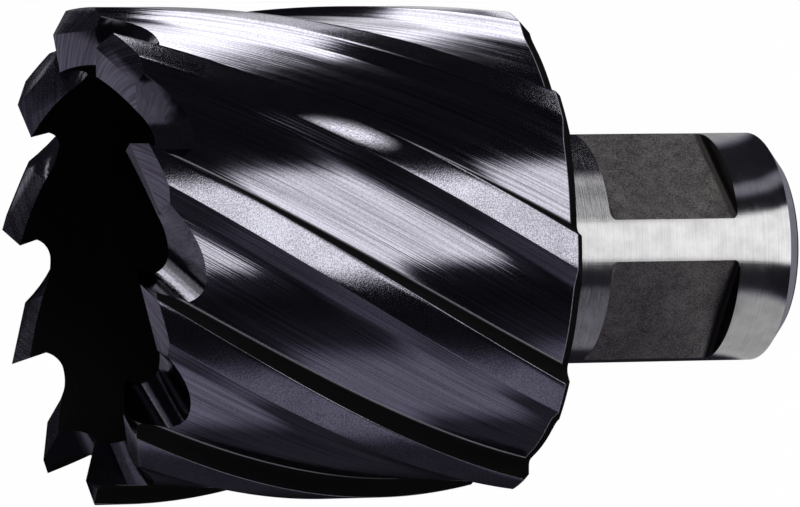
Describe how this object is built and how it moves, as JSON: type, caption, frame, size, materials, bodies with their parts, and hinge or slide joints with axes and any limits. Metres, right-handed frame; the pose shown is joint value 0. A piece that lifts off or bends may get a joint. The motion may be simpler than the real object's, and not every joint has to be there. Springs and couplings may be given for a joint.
{
  "type": "annular cutter",
  "caption": "Hollow fluted milling cutter that cuts a ring and leaves a slug, with a plain round shank clamped on two flats.",
  "frame": {"origin": "centre of the shank's end face, which the cutter stands on", "axes": "+Z along the axis towards the teeth, +X and +Y out of the two clamping flats"},
  "size_m": [0.0406, 0.0406, 0.061],
  "materials": {
    "coated_tool_steel": "dark coated body, bare ground shank"
  },
  "bodies": {
    "root": {"annular_cutter": "coated_tool_steel"}
  },
  "joints": []
}
